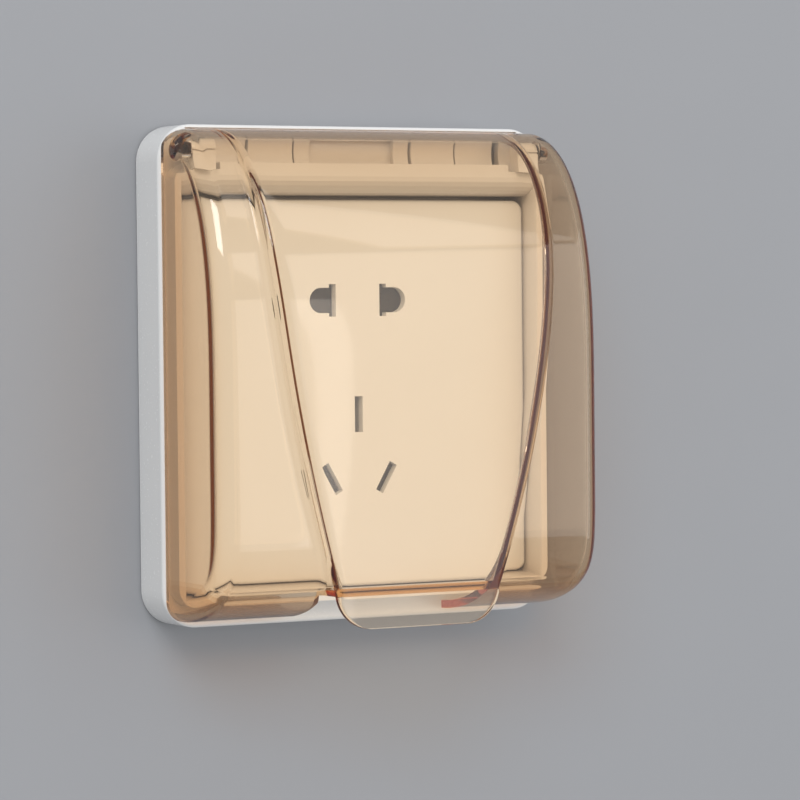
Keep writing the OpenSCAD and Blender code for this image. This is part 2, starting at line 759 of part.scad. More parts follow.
// Brass block with a wire bore from the back and a clamp screw from below
module terminal(x, half) {
    color(brass) difference() {
        box(x - half, x + half, terminal_back, strip_back, terminal_z0, terminal_z0 + terminal_h);
        bar_d(x, terminal_z0 + terminal_h/2, terminal_back - 1, strip_back - 2, wire_r);
        translate([x, clamp_d, terminal_z0 - 1]) cylinder(r = clamp_r + 0.05, h = terminal_h/2 + 1);
    }
}

module line_terminal() {
    terminal(terminal_pitch, terminal_half);
}

module neutral_terminal() {
    terminal(-terminal_pitch, terminal_half);
}

module earth_terminal() {
    terminal(0, earth_terminal_half);
}

module terminal_screws() {
    head = 1.2;
    color(steel) for (x = terminal_places())
        translate([x, clamp_d, terminal_z0 - head]) difference() {
            union() {
                cylinder(r = clamp_r, h = terminal_h/2 + 0.4);
                cylinder(r = clamp_head_r, h = head);
            }
            translate([-2.5, -0.3, -1]) cube([5, 0.6, 1.6]);
        }
}

module fixing_screws() {
    color(steel) for (x = [-screw_pitch/2, screw_pitch/2])
        difference() {
            union() {
                bar_d(x, 0, -fixing_reach, -neck_reach + eps, fixing_r);
                bar_d(x, 0, -neck_reach, bracket_front + eps, neck_r);
                bar_d(x, 0, bracket_front, bracket_front + screw_head_t, screw_head_d/2);
            }
            // Cross slot
            box(x - 5, x + 5, bracket_front + screw_head_t/2, far, -0.5, 0.5);
            box(x - 0.5, x + 0.5, bracket_front + screw_head_t/2, far, -5, 5);
        }
}

module housing_screws() {
    color(steel) for (p = housing_screw_places()) {
        bar_d(p[0], p[1], bracket_front, carrier_front - 1 + eps, small_screw_r);
        bar_d(p[0], p[1], carrier_front - 1, carrier_front - 1 + small_head_t, small_head_r);
    }
}

base_frame();
wall_gasket();
lid();
face_plate();
socket_bracket();
rear_housing();
shutter_carrier();
two_pin_shutter();
three_pin_shutter();
two_pin_spring();
three_pin_spring();
line_contact();
neutral_contact();
earth_contact();
line_terminal();
neutral_terminal();
earth_terminal();
terminal_screws();
fixing_screws();
housing_screws();
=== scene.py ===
"""Looks of a hinged waterproof cover for a wall socket: a clear amber lid over a white insert.

X runs to the right, Y into the wall and Z up, in metres. Sizes in the panel are in metres too.
"""

import math

import bmesh
import bpy
import numpy as np
from mathutils import Matrix, Vector


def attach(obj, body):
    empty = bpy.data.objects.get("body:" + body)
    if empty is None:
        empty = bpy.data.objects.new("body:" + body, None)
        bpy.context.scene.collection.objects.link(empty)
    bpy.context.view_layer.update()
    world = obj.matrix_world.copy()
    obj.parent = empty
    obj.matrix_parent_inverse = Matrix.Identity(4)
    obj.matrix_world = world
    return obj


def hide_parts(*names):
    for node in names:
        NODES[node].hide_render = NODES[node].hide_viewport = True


bl_info = {
    "name": "Waterproof socket cover",
    "version": (1, 0, 0),
    "blender": (4, 5, 0),
    "location": "View3D > Sidebar > Socket Cover",
    "description": "Builds the clear lid and the finishes of a waterproof socket cover",
    "category": "Object",
}

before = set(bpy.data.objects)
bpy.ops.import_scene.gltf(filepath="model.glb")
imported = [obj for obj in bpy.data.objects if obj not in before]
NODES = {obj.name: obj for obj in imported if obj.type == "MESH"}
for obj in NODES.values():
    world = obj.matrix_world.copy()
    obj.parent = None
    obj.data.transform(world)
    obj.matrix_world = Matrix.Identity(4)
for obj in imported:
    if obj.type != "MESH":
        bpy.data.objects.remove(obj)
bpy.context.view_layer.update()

MERGE_DISTANCE = 2e-6


# Settings


class LidSizes(bpy.types.PropertyGroup):
    """Sizes of the clear lid."""

    width: bpy.props.FloatProperty(
        name="Width", description="Width of the lid", default=0.0954, unit="LENGTH")
    top: bpy.props.FloatProperty(
        name="Top", description="Height of the top above the plate's middle",
        default=0.0584, unit="LENGTH")
    bottom: bpy.props.FloatProperty(
        name="Bottom", description="Distance of the bottom below the plate's middle",
        default=0.0490, unit="LENGTH")
    rear: bpy.props.FloatProperty(
        name="Rear edge", description="Distance of the rear edge from the wall",
        default=0.0119, unit="LENGTH")
    crown: bpy.props.FloatProperty(
        name="Crown", description="Distance of the side zones' crown from the wall",
        default=0.0382, unit="LENGTH")
    wall: bpy.props.FloatProperty(
        name="Wall", description="Thickness of the lid", default=0.0018, unit="LENGTH")
    side_roll: bpy.props.FloatProperty(
        name="Side rounding", description="Radius that rolls along the side edges",
        default=0.0045, unit="LENGTH")
    step: bpy.props.FloatProperty(
        name="Step", description="Height of the raised panel at the crown",
        default=0.0032, unit="LENGTH")
    lean: bpy.props.FloatProperty(
        name="Lean", description="How far the panel leans back from crown to foot",
        default=0.0017, unit="LENGTH")
    panel_top: bpy.props.FloatProperty(
        name="Panel top width", description="Width of the raised panel at its top",
        default=0.0728, unit="LENGTH")
    panel_foot: bpy.props.FloatProperty(
        name="Panel foot width", description="Width of the raised panel at its foot",
        default=0.0404, unit="LENGTH")
    foot: bpy.props.FloatProperty(
        name="Panel foot", description="Distance of the panel's foot below the plate's middle",
        default=0.0428, unit="LENGTH")
    edge: bpy.props.FloatProperty(
        name="Panel edge", description="Rounding of the raised panel's edge",
        default=0.0013, unit="LENGTH")
    fillet: bpy.props.FloatProperty(
        name="Step fillet", description="Hollow rounding at the foot of the step",
        default=0.0009, unit="LENGTH")
    shelf: bpy.props.FloatProperty(
        name="Shelf", description="Thickness of the shelf that closes the panel's foot",
        default=0.0016, unit="LENGTH")
    shelf_reach: bpy.props.FloatProperty(
        name="Shelf reach", description="How far the shelf reaches back from the lip's front",
        default=0.006, unit="LENGTH")
    lip_end: bpy.props.FloatProperty(
        name="Lip end", description="Distance of the finger lip's end below the plate's middle",
        default=0.0501, unit="LENGTH")
    lip_corner: bpy.props.FloatProperty(
        name="Lip corner", description="Radius of the finger lip's lower corners",
        default=0.0084, unit="LENGTH")
    pivot_depth: bpy.props.FloatProperty(
        name="Pivot depth", description="Distance of the hinge line from the wall",
        default=0.0165, unit="LENGTH")
    pivot_height: bpy.props.FloatProperty(
        name="Pivot height", description="Height of the hinge line above the plate's middle",
        default=0.0536, unit="LENGTH")
    corner_swing: bpy.props.FloatProperty(
        name="Corner swing", description="Radius round the hinge line that the corners keep to",
        default=0.00475, unit="LENGTH")
    corner_start: bpy.props.FloatProperty(
        name="Corner start", description="Distance from the middle where the corners draw in",
        default=0.0411, unit="LENGTH")
    stud_start: bpy.props.FloatProperty(
        name="Stud end", description="Distance of each pivot stud's end from the middle",
        default=0.0394, unit="LENGTH")
    stud_radius: bpy.props.FloatProperty(
        name="Stud radius", description="Radius of the pivot studs", default=0.0012,
        unit="LENGTH")
    boss_start: bpy.props.FloatProperty(
        name="Boss start", description="Distance of each pivot boss from the middle",
        default=0.0433, unit="LENGTH")
    boss_radius: bpy.props.FloatProperty(
        name="Boss radius", description="Radius of the pivot bosses", default=0.0026,
        unit="LENGTH")


class Finishes(bpy.types.PropertyGroup):
    """Colours of the pieces."""

    frame_white: bpy.props.FloatVectorProperty(
        name="Frame white", description="Glossy white of the base frame",
        default=(0.79, 0.785, 0.775), subtype="COLOR", size=3)
    plate_white: bpy.props.FloatVectorProperty(
        name="Plate white", description="Satin white of the socket plate",
        default=(0.85, 0.88, 0.90), subtype="COLOR", size=3)
    amber: bpy.props.FloatVectorProperty(
        name="Lid amber", description="Colour that the lid's wall lets through",
        default=(0.88, 0.63, 0.28), subtype="COLOR", size=3)
    amber_density: bpy.props.FloatProperty(
        name="Lid density", description="How strongly the lid's wall takes up light, per metre",
        default=270.0, min=0.0)
    # Painted shade: a deeper amber painted on the lid's rims, shelf, side walls, bottom and
    # pivot bosses, standing in for light crossing the plastic edge-on
    amber_shade_paint: bpy.props.FloatVectorProperty(
        name="Lid painted shade", description="Deeper tint of the lid's rims, shelf and pivot bosses",
        default=(0.73, 0.50, 0.28), subtype="COLOR", size=3)
    # Partly the shutters' own dark grey and partly painted shade: set near black so that the pin
    # holes read as shaded recesses
    shutter_grey_hole_shade: bpy.props.FloatVectorProperty(
        name="Shutter grey", description="Dark grey of the safety shutters",
        default=(0.018, 0.016, 0.015), subtype="COLOR", size=3)
    housing_grey: bpy.props.FloatVectorProperty(
        name="Housing grey", description="Pale grey of the rear housing",
        default=(0.62, 0.62, 0.60), subtype="COLOR", size=3)
    foam_black: bpy.props.FloatVectorProperty(
        name="Gasket foam", description="Dark foam of the wall gasket",
        default=(0.02, 0.02, 0.021), subtype="COLOR", size=3)


class StageSettings(bpy.types.PropertyGroup):
    """Light, wall and camera."""

    wall_grey: bpy.props.FloatVectorProperty(
        name="Wall", description="Colour of the wall behind the cover",
        default=(0.338, 0.340, 0.355), subtype="COLOR", size=3)
    key_power: bpy.props.FloatProperty(
        name="Key light", description="Power of the main soft light", default=7.0,
        unit="POWER")
    fill_power: bpy.props.FloatProperty(
        name="Fill light", description="Power of the fill light", default=2.8, unit="POWER")
    strip_power: bpy.props.FloatProperty(
        name="Strip light", description="Power of the tall strip light that the lid mirrors",
        default=0.35, unit="POWER")
    air: bpy.props.FloatProperty(
        name="Ambient", description="Strength of the even light all round", default=0.72,
        min=0.0)


def settings(name):
    """The scene's settings of that name."""
    return getattr(bpy.context.scene, name)


# Mesh helpers


def mesh_object(name, points, faces, sharp_deg=35.0, rim=None):
    """A smooth-shaded object from points in metres and four-cornered faces; doubles are merged.
    A rim value per face, if given, is kept as an attribute; the lid's material mixes painted
    shade by it."""
    mesh = bpy.data.meshes.new(name)
    mesh.from_pydata(points.tolist(), [], faces.tolist())
    if rim is not None:
        mesh.attributes.new("rim", "FLOAT", "FACE").data.foreach_set("value", rim)
    work = bmesh.new()
    work.from_mesh(mesh)
    bmesh.ops.remove_doubles(work, verts=work.verts, dist=MERGE_DISTANCE)
    loose = [v for v in work.verts if not v.link_faces]
    bmesh.ops.delete(work, geom=loose, context="VERTS")
    work.to_mesh(mesh)
    work.free()
    mesh.validate()
    mesh.polygons.foreach_set("use_smooth", np.ones(len(mesh.polygons), dtype=bool))
    mesh.set_sharp_from_angle(angle=math.radians(sharp_deg))
    mesh.update()
    obj = bpy.data.objects.new(name, mesh)
    bpy.context.scene.collection.objects.link(obj)
    return obj


def paint(obj, material):
    """Gives the object this one material."""
    obj.data.materials.clear()
    obj.data.materials.append(material)


def row_points(x, depth, height):
    """Points in the row frame from X, depth out from the wall and height."""
    return np.stack([x, -depth, height], axis=-1)


# Lid


class LidForm:
    """The lid's form as arrays of rows from its top edge to its foot, and columns across X."""

    # Powers n and m of the profile above and below the crown, and of the panel's fade
    UPPER_POWERS = (2.85, 2.1)
    LOWER_POWERS = (9.0, 1.65)
    FADE_POWER = 3.5
    # Powers that set rows closer together near the crown and near the foot
    UPPER_SPACING = 1.25
    MIDDLE_SPACING = 0.85
    # Columns of the right half, from the middle outwards
    PANEL_STEPS = 12
    ROUND_STEPS = 9
    SIDE_STEPS = 13
    ROLL_STEPS = 15
    WALL_STEPS = 8
    # The panel's edge and fillet on the inner face, and the slope of the step between them
    INNER_EDGE = 0.0005
    INNER_FILLET_SHARE = 0.85
    STEP_SLOPE = 0.0003
    # Height between two rows where the form turns sharply, and the lip's rounded rim
    SEAM = 0.0001
    LIP_ROUNDING = 0.0004

    def __init__(self, sizes):
        self.s = sizes

    def profile(self, angle, inset):
        """Side profile: two quarter superellipses that meet at the crown.

        Depth is rear + b*cos(a)^(2/m) and height is h*sin(a)^(2/n), with one pair of powers
        above the crown and another below. Also gives the outward direction at each row.
        """
        s = self.s
        up = angle >= 0
        h = np.where(up, s.top, s.bottom) - inset
        b = s.crown - inset - s.rear
        n = np.where(up, self.UPPER_POWERS[0], self.LOWER_POWERS[0])
        m = np.where(up, self.UPPER_POWERS[1], self.LOWER_POWERS[1])
        cosine = np.clip(np.cos(angle), 0, 1)
        sine = np.sin(angle)
        depth = s.rear + b * cosine ** (2 / m)
        height = np.sign(sine) * h * np.abs(sine) ** (2 / n)
        out = np.stack([
            m / b * np.clip((depth - s.rear) / b, 0, 1) ** (m - 1),
            np.sign(sine) * n / h * (np.abs(height) / h) ** (n - 1)], axis=-1)
        out[np.abs(cosine) < 1e-9] = [0, 1]
        out[angle <= -math.pi / 2 + 1e-9] = [0, -1]
        out /= np.linalg.norm(out, axis=-1, keepdims=True)
        return np.stack([depth, height], axis=-1), out

    def angles(self, inset, upper, middle, lower):
        """Row angles: even steps of a power above the crown, even heights down to the foot,
        and even angles from there to the bottom edge."""
        s = self.s
        top = math.pi / 2 * np.linspace(1, 0, upper) ** self.UPPER_SPACING
        drop = np.linspace(0, 1, middle + 1)[1:] ** self.MIDDLE_SPACING
        drop[-2] = (s.foot - s.shelf) / s.foot
        drop[-3] = (s.foot - s.shelf - self.SEAM) / s.foot
        share = s.foot * drop / (s.bottom - inset)
        mid = -np.arcsin(share ** (self.LOWER_POWERS[0] / 2))
        low = mid[-1] + (-math.pi / 2 - mid[-1]) * np.linspace(0, 1, lower + 1)[1:]
        return np.concatenate([top, mid, low])

    def panel_half(self, height):
        """Half width of the raised panel: it narrows with the square of the drop."""
        s = self.s
        u = np.clip((s.top - height) / (s.top + s.foot), 0, 1)
        return (s.panel_top - (s.panel_top - s.panel_foot) * u * u) / 2

    def lift(self, angle, point, out, inset):
        """Offset of the panel from the profile: it fades as step*(1 - sin(a)^p) towards the
        top, and below the crown the panel leans back with the square of the drop."""
        s = self.s
        fade = np.clip(np.sin(angle), 0, 1) ** self.FADE_POWER
        above = out * (s.step * (1 - fade))[:, None]
        u = point[:, 1] / s.foot
        flat = s.crown - inset + s.step - s.lean * u * u - point[:, 0]
        below = np.stack([flat, np.zeros_like(flat)], axis=-1)
        return np.where((angle >= 0)[:, None], above, below)

    def half_section(self, angle, inset, foot_row):
        """Right half of the section in every row: panel, its rounded edge, the step with its
        hollow foot, the side zone, the roll over to the side wall and the wall itself."""
        s = self.s
        point, out = self.profile(angle, inset)
        lift = self.lift(angle, point, out, inset)
        size = np.linalg.norm(lift, axis=-1)
        unit = np.where(size[:, None] > 1e-7, lift / np.maximum(size, 1e-7)[:, None], out)
        half = s.width / 2 - inset
        roll = s.side_roll - inset
        edge_x = s.edge if inset == 0 else self.INNER_EDGE
        hollow_x = s.fillet
        if inset:
            hollow_x += s.wall * self.INNER_FILLET_SHARE
        wide = self.panel_half(point[:, 1]) - inset
        edge = np.minimum(edge_x, size)
        hollow = np.minimum(hollow_x, np.maximum(size - edge, 0) * 0.98)
        rows = len(angle)

        def block(x, offset):
            """One run of columns: x and the offset from the profile, both per row and column."""
            return np.concatenate([x[..., None], point[:, None, :] + offset], axis=-1)

        u = np.linspace(0, 1, self.PANEL_STEPS + 1)[:-1]
        panel = block(u * (wide - edge_x)[:, None],
                      np.broadcast_to(lift[:, None, :], (rows, len(u), 2)))
        g = np.linspace(0, math.pi / 2, self.ROUND_STEPS)
        rounding = block(
            wide[:, None] - edge_x + edge_x * np.sin(g),
            lift[:, None, :] - unit[:, None, :] * (edge[:, None] * (1 - np.cos(g)))[..., None])
        t = np.linspace(0, math.pi / 2, self.ROUND_STEPS)
        step = block(
            wide[:, None] + self.STEP_SLOPE + hollow_x * (1 - np.cos(t)),
            unit[:, None, :] * (hollow[:, None] * (1 - np.sin(t)))[..., None])
        start = wide + self.STEP_SLOPE + hollow_x
        past = np.clip(np.arange(rows) - foot_row, 0, 3) / 3
        start = start - past * (start - (s.panel_foot / 2 + 0.0002))
        v = np.linspace(0, 1, self.SIDE_STEPS + 2)[1:-1]
        side = block(start[:, None] + (half - roll - start)[:, None] * v,
                     np.zeros((rows, len(v), 2)))
        step[foot_row + 1:, -1, 0] = start[foot_row + 1:]
        r = np.linspace(0, math.pi / 2, self.ROLL_STEPS)
        over = block(np.broadcast_to(half - roll + roll * np.sin(r), (rows, len(r))),
                     -out[:, None, :] * (roll * (1 - np.cos(r)))[None, :, None])
        w = np.linspace(0, 1, self.WALL_STEPS + 1)[1:]
        end = over[:, -1, :]
        wall = np.repeat(end[:, None, :], len(w), axis=1)
        wall[:, :, 1] = end[:, 1:2] + (s.rear - end[:, 1:2]) * w
        return self.relieve(np.concatenate([panel, rounding, step, side, over, wall], axis=1))

    def relieve(self, grid):
        """Draws the rear top corners in to a circle round the hinge line, so that they swing
        clear of the frame: a point there outside the circle moves along its radius onto it."""
        s = self.s
        away = grid[..., 1:] - [s.pivot_depth, s.pivot_height]
        reach = np.linalg.norm(away, axis=-1)
        corner = (grid[..., 0] > s.corner_start) & (
            away[..., 0] < 0) & (away[..., 1] > 0) & (reach > s.corner_swing)
        excess = 1 - s.corner_swing / np.maximum(reach, 1e-9)
        grid[..., 1:][corner] -= (away * excess[..., None])[corner]
        return grid

    def sheet(self, inset, counts):
        """The whole sheet of one wall face, mirrored, and its row of the panel's foot."""
        upper, middle, lower = counts
        angle = self.angles(inset, upper, middle, lower)
        foot_row = upper + middle - 1
        right = self.half_section(angle, inset, foot_row)
        left = right[:, :0:-1] * [-1, 1, 1]
        return np.concatenate([left, right], axis=1), foot_row

    def lip(self, inset, across, rows):
        """The finger lip below the foot: a flat plate whose width follows a straight run and
        then a quarter circle, half - r + r*cos(f), at the height of r*sin(f)."""
        s = self.s
        half = s.panel_foot / 2
        r = s.lip_corner
        first = math.asin((s.foot + self.SEAM - s.lip_end + r) / r)
        f = np.linspace(first, math.pi / 2, rows)
        wide = half - r + r * np.cos(f)
        height = -(s.lip_end - r) - r * np.sin(f)
        depth = s.crown + s.step - s.lean - inset
        x = across[None, :] * wide[:, None]
        near_side = np.clip((np.abs(across) - 0.97) / 0.03, 0, 1)[None, :] ** 2
        near_end = np.clip((f - 1.45) / 0.12, 0, 1)[:, None] ** 2
        soft = self.LIP_ROUNDING * np.maximum(near_side, near_end) * (1 if inset == 0 else -1)
        return np.stack([x, depth - soft, np.repeat(height[:, None], len(across), 1)], axis=-1)


# Rows of the lid above the crown, from there to the foot and below it, and rows of the lip
LID_ROWS = (72, 46, 22)
LIP_ROWS = 16

# Painted shade at the rear edge of the side walls, its loss per column inwards, and at the
# bottom: deeper amber that stands in for light crossing the wall edge-on
SIDE_SHADE_PAINT = 0.42
SIDE_SHADE_PAINT_LOSS = 0.035
BOTTOM_SHADE_PAINT = 0.6


def lid_mesh(sizes):
    """Points and faces of the lid, and how much painted shade each face takes: an outer and an
    inner sheet of the same rows and columns, joined round every free edge. The inner sheet is
    pulled back near the foot into a shelf. Rims and shelf take the painted shade fully, side
    walls and the bottom in part; it is a deeper amber that stands in for light crossing the
    plastic edge-on."""
    form = LidForm(sizes)
    outer, foot = form.sheet(0.0, LID_ROWS)
    inner, _ = form.sheet(sizes.wall, LID_ROWS)
    rows, cols = outer.shape[:2]
    mid = cols // 2
    panel_columns = form.PANEL_STEPS + form.ROUND_STEPS
    c0, c1 = mid - panel_columns + 1, mid + panel_columns - 1
    front = sizes.crown + sizes.step - sizes.lean
    back = front - sizes.shelf_reach
    w0, w1 = c0 - form.ROUND_STEPS, c1 + form.ROUND_STEPS
    for i in (foot - 1, foot):
        inner[i, w0:w1 + 1, 1] = np.minimum(inner[i, w0:w1 + 1, 1], back)
    across = outer[foot, c0:c1 + 1, 0] / outer[foot, c1, 0]
    lips = [form.lip(k, across, LIP_ROWS) for k in (0.0, sizes.wall)]
    count = rows * cols + LIP_ROWS * (c1 - c0 + 1)

    grid = np.arange(rows * cols).reshape(rows, cols)
    keep = np.ones((rows - 1, cols - 1), dtype=bool)
    keep[foot:, w0:w1] = False
    cells = np.stack([grid[:-1, :-1], grid[1:, :-1], grid[1:, 1:], grid[:-1, 1:]], -1)[keep]
    lip_grid = rows * cols + np.arange(LIP_ROWS * (c1 - c0 + 1)).reshape(LIP_ROWS, -1)
    lip_grid = np.vstack([grid[foot, c0:c1 + 1], lip_grid])
    lip_cells = np.stack([lip_grid[:-1, :-1], lip_grid[1:, :-1], lip_grid[1:, 1:],
                          lip_grid[:-1, 1:]], -1).reshape(-1, 4)
    faces = np.vstack([cells, lip_cells])
    rim = free_edges(faces)
    joined = np.stack([rim[:, 1], rim[:, 0], rim[:, 0] + count, rim[:, 1] + count], -1)
    on_grid = faces[:, 0] < rows * cols
    row, col = faces[:, 0] // cols, faces[:, 0] % cols
    # Painted shade share: full on the shelf and the joined rims, fading inwards from the side
    # walls' rear edge, and part on the bottom
    shelf = on_grid & (row >= foot - 2) & (row < foot) & (col >= w0) & (col < w1)
    inward = np.minimum(col, cols - 2 - col)
    edge_shade = np.where(on_grid, np.clip(SIDE_SHADE_PAINT - SIDE_SHADE_PAINT_LOSS * inward, 0, 1), 0.0)
    edge_shade = np.where(on_grid & (row >= foot), BOTTOM_SHADE_PAINT, edge_shade)
    painted_shade_share = np.concatenate([edge_shade, np.maximum(edge_shade, shelf), np.ones(len(joined))])
    faces = np.vstack([faces, faces[:, ::-1] + count, joined])
    points = np.vstack([outer.reshape(-1, 3), lips[0].reshape(-1, 3),
                        inner.reshape(-1, 3), lips[1].reshape(-1, 3)])
    return row_points(points[:, 0], points[:, 1], points[:, 2]), faces, painted_shade_share


def free_edges(faces):
    """The directed edges that belong to one face alone."""
    edges = np.vstack([faces[:, [k, (k + 1) % 4]] for k in range(4)])
    ends = np.sort(edges, axis=1)
    key = ends[:, 0].astype(np.int64) * (faces.max() + 1) + ends[:, 1]
    _, first, number = np.unique(key, return_index=True, return_counts=True)
    return edges[first[number == 1]]


def revolve_x(x, radius, centre, around=48):
    """A closed solid of revolution along X: each point of the profile (x, radius) is turned
    round the axis at centre, given as depth and height; the first and last radius are 0."""
    a = np.linspace(0, 2 * math.pi, around, endpoint=False)
    depth = centre[0] + radius[:, None] * np.cos(a)
    height = centre[1] + radius[:, None] * np.sin(a)
    points = row_points(np.repeat(x[:, None], around, 1), depth, height).reshape(-1, 3)
    n = len(x)
    grid = np.arange(n * around).reshape(n, around)
    grid = np.hstack([grid, grid[:, :1]])
    faces = np.stack([grid[:-1, :-1], grid[:-1, 1:], grid[1:, 1:], grid[1:, :-1]], -1)
    return points, faces.reshape(-1, 4)


def ear_profile(sizes):
    """Profile of a pivot ear along X from the stud's end to its root in the side wall: a thin
    stud and a wider boss, each with a small bevel, and a root that closes inside the wall."""
    bevel = 0.0002
    root = sizes.width / 2 - sizes.wall / 2 - bevel
    cone = 0.0013
    x = [sizes.stud_start, sizes.stud_start, sizes.stud_start + bevel,
         sizes.boss_start, sizes.boss_start, sizes.boss_start + bevel,
         root - cone, root, root]
    radius = [0.0, sizes.stud_radius - bevel, sizes.stud_radius,
              sizes.stud_radius, sizes.boss_radius - bevel, sizes.boss_radius,
              sizes.boss_radius, sizes.boss_radius / 2, 0.0]
    return np.array(x), np.array(radius)


# Materials


def fill(node, values):
    """Sets the node's inputs of these names."""
    for name, value in values.items():
        node.inputs[name].default_value = value


def maths(tree, operation, *values):
    """Output of a new maths node; each value is a number or another node's output."""
    node = tree.nodes.new("ShaderNodeMath")
    node.operation = operation
    for socket, value in zip(node.inputs, values):
        if isinstance(value, bpy.types.NodeSocket):
            tree.links.new(value, socket)
        else:
            socket.default_value = value
    return node.outputs[0]


def mix_shaders(tree, share, first, second):
    """Output that shows the first shader where share is 0 and the second where it is 1."""
    node = tree.nodes.new("ShaderNodeMixShader")
    tree.links.new(share, node.inputs["Fac"])
    tree.links.new(first, node.inputs[1])
    tree.links.new(second, node.inputs[2])
    return node.outputs[0]


def transparent(tree, colour):
    """Output of a new shader that lets light pass straight on in this colour."""
    node = tree.nodes.new("ShaderNodeBsdfTransparent")
    node.inputs["Color"].default_value = (*colour, 1)
    return node.outputs[0]


def surface_group():
    """Node group of a moulded or worked surface: soft cloudy tone, fine grain and the height
    for a bump. Colour = base darkened by cloud; roughness = base + grain."""
    group = bpy.data.node_groups.get("Worked surface")
    if group:
        return group
    group = bpy.data.node_groups.new("Worked surface", "ShaderNodeTree")
    face = group.interface
    for name, kind, value in (
            ("Colour", "NodeSocketColor", (0.8, 0.8, 0.8, 1)),
            ("Cloud", "NodeSocketFloat", 0.04),
            ("Cloud scale", "NodeSocketFloat", 60.0),
            ("Grain scale", "NodeSocketFloat", 1500.0),
            ("Roughness", "NodeSocketFloat", 0.3),
            ("Roughness change", "NodeSocketFloat", 0.06)):
        socket = face.new_socket(name=name, in_out="INPUT", socket_type=kind)
        socket.default_value = value
    face.new_socket(name="Colour", in_out="OUTPUT", socket_type="NodeSocketColor")
    face.new_socket(name="Roughness", in_out="OUTPUT", socket_type="NodeSocketFloat")
    face.new_socket(name="Height", in_out="OUTPUT", socket_type="NodeSocketFloat")
    nodes, links = group.nodes, group.links
    given = nodes.new("NodeGroupInput")
    result = nodes.new("NodeGroupOutput")
    place = nodes.new("ShaderNodeTexCoord")
    cloud = nodes.new("ShaderNodeTexNoise")
    cloud.inputs["Detail"].default_value = 3
    grain = nodes.new("ShaderNodeTexNoise")
    grain.inputs["Detail"].default_value = 2
    for tex, scale in ((cloud, "Cloud scale"), (grain, "Grain scale")):
        links.new(place.outputs["Object"], tex.inputs["Vector"])
        links.new(given.outputs[scale], tex.inputs["Scale"])
    less = maths(group, "MULTIPLY_ADD", cloud.outputs["Fac"],
                 maths(group, "MULTIPLY", given.outputs["Cloud"], -1), 1.0)
    tone = nodes.new("ShaderNodeVectorMath")
    tone.operation = "SCALE"
    links.new(given.outputs["Colour"], tone.inputs[0])
    links.new(less, tone.inputs["Scale"])
    rough = maths(group, "MULTIPLY_ADD", grain.outputs["Fac"],
                  given.outputs["Roughness change"], given.outputs["Roughness"])
    links.new(tone.outputs[0], result.inputs["Colour"])
    links.new(rough, result.inputs["Roughness"])
    links.new(grain.outputs["Fac"], result.inputs["Height"])
    return group


def worked(tree, colour, roughness, change, cloud, cloud_scale, grain):
    """A node of the worked surface's group with these values, wired to the tree's shader."""
    made = tree.nodes.new("ShaderNodeGroup")
    made.node_tree = surface_group()
    fill(made, {"Colour": (*colour, 1), "Cloud": cloud, "Cloud scale": cloud_scale,
                "Grain scale": grain, "Roughness": roughness, "Roughness change": change})
    shader = tree.nodes["Principled BSDF"]
    tree.links.new(made.outputs["Colour"], shader.inputs["Base Color"])
    tree.links.new(made.outputs["Roughness"], shader.inputs["Roughness"])
    return made


BUMP_DEPTH = 0.00005
COAT_ROUGHNESS = 0.08


def surface(name, colour, roughness, change=0.06, cloud=0.04, grain=1500.0, bump=0.05,
            metallic=0.0, coat=0.0, specular=0.5, cloud_scale=60.0):
    """A material of one colour with the worked surface's tone, grain and bump."""
    material = bpy.data.materials.new(name)
    material.use_nodes = True
    tree = material.node_tree
    shader = tree.nodes["Principled BSDF"]
    made = worked(tree, colour, roughness, change, cloud, cloud_scale, grain)
    raised = tree.nodes.new("ShaderNodeBump")
    fill(raised, {"Strength": bump, "Distance": BUMP_DEPTH})
    tree.links.new(made.outputs["Height"], raised.inputs["Height"])
    tree.links.new(raised.outputs["Normal"], shader.inputs["Normal"])
    fill(shader, {"Metallic": metallic, "Coat Weight": coat,
                  "Coat Roughness": COAT_ROUGHNESS, "Specular IOR Level": specular})
    return material


PLASTIC_IOR = 1.55
CLEAR_TONE = (1.0, 0.985, 0.96)
STRAIGHT_TONE = (0.99, 0.985, 0.98)
EDGE_TONE = (0.62, 0.52, 0.44)
MOST_BENDS = 4


